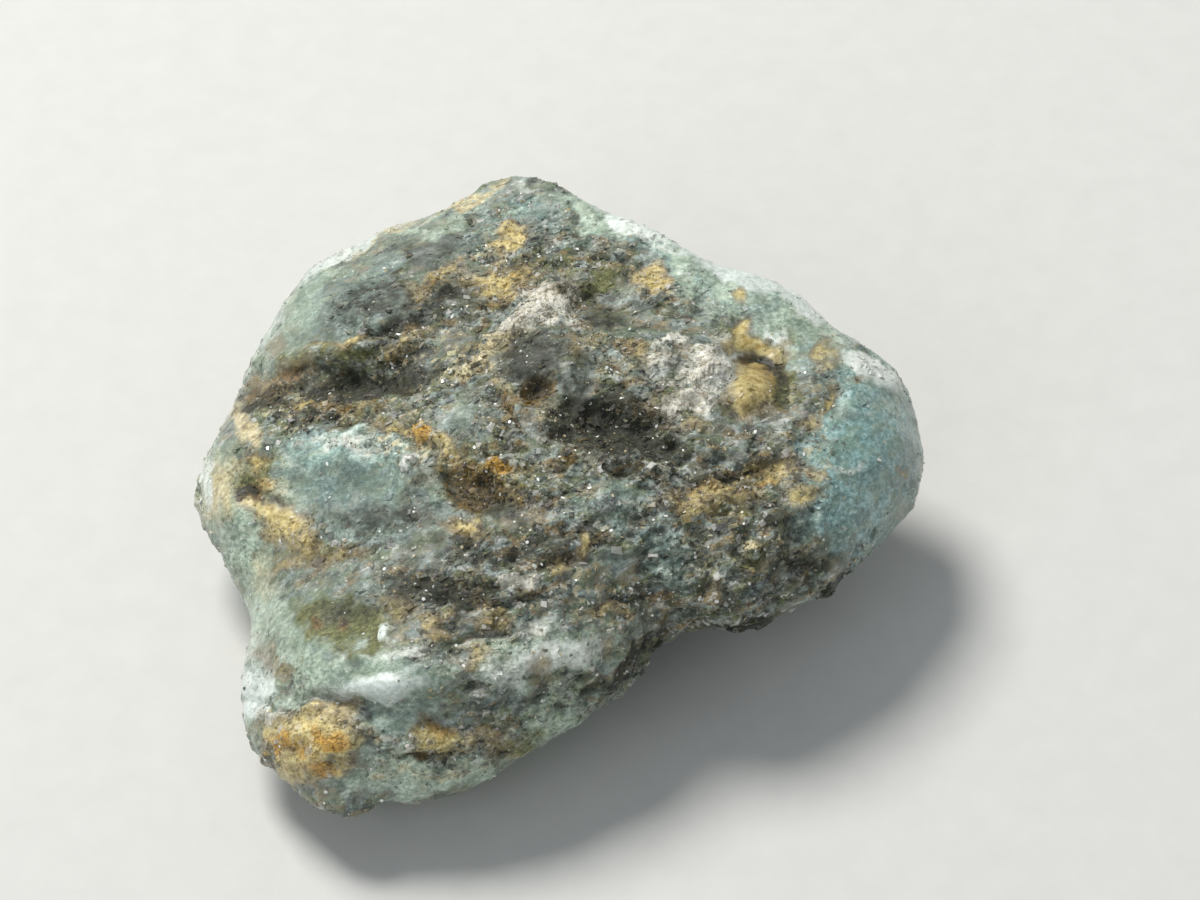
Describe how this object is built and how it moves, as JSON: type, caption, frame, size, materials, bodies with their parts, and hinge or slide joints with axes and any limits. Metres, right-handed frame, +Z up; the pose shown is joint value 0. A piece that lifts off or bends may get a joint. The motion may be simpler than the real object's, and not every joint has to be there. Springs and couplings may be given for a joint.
{
  "type": "raw mineral specimen",
  "caption": "Rough chunk of raw grandidierite: flattened blue-green stone with a cleft shoulder, rusty ochre pits and crusts, a rounded right lobe and an undercut front edge.",
  "frame": {"origin": "On the resting plane (z = 0), under the middle of the box around the stone.", "axes": "+X to the right of the picture, the stone's longest extent; +Y away from the viewer; +Z up, the stone's shortest extent."},
  "size_m": [0.0244, 0.023, 0.0095],
  "materials": {
    "stone": "rough broken mineral surface, sage to teal green with grey grains, small glints and rusty ochre spots"
  },
  "bodies": {
    "root": {"stone": "stone"}
  },
  "joints": []
}
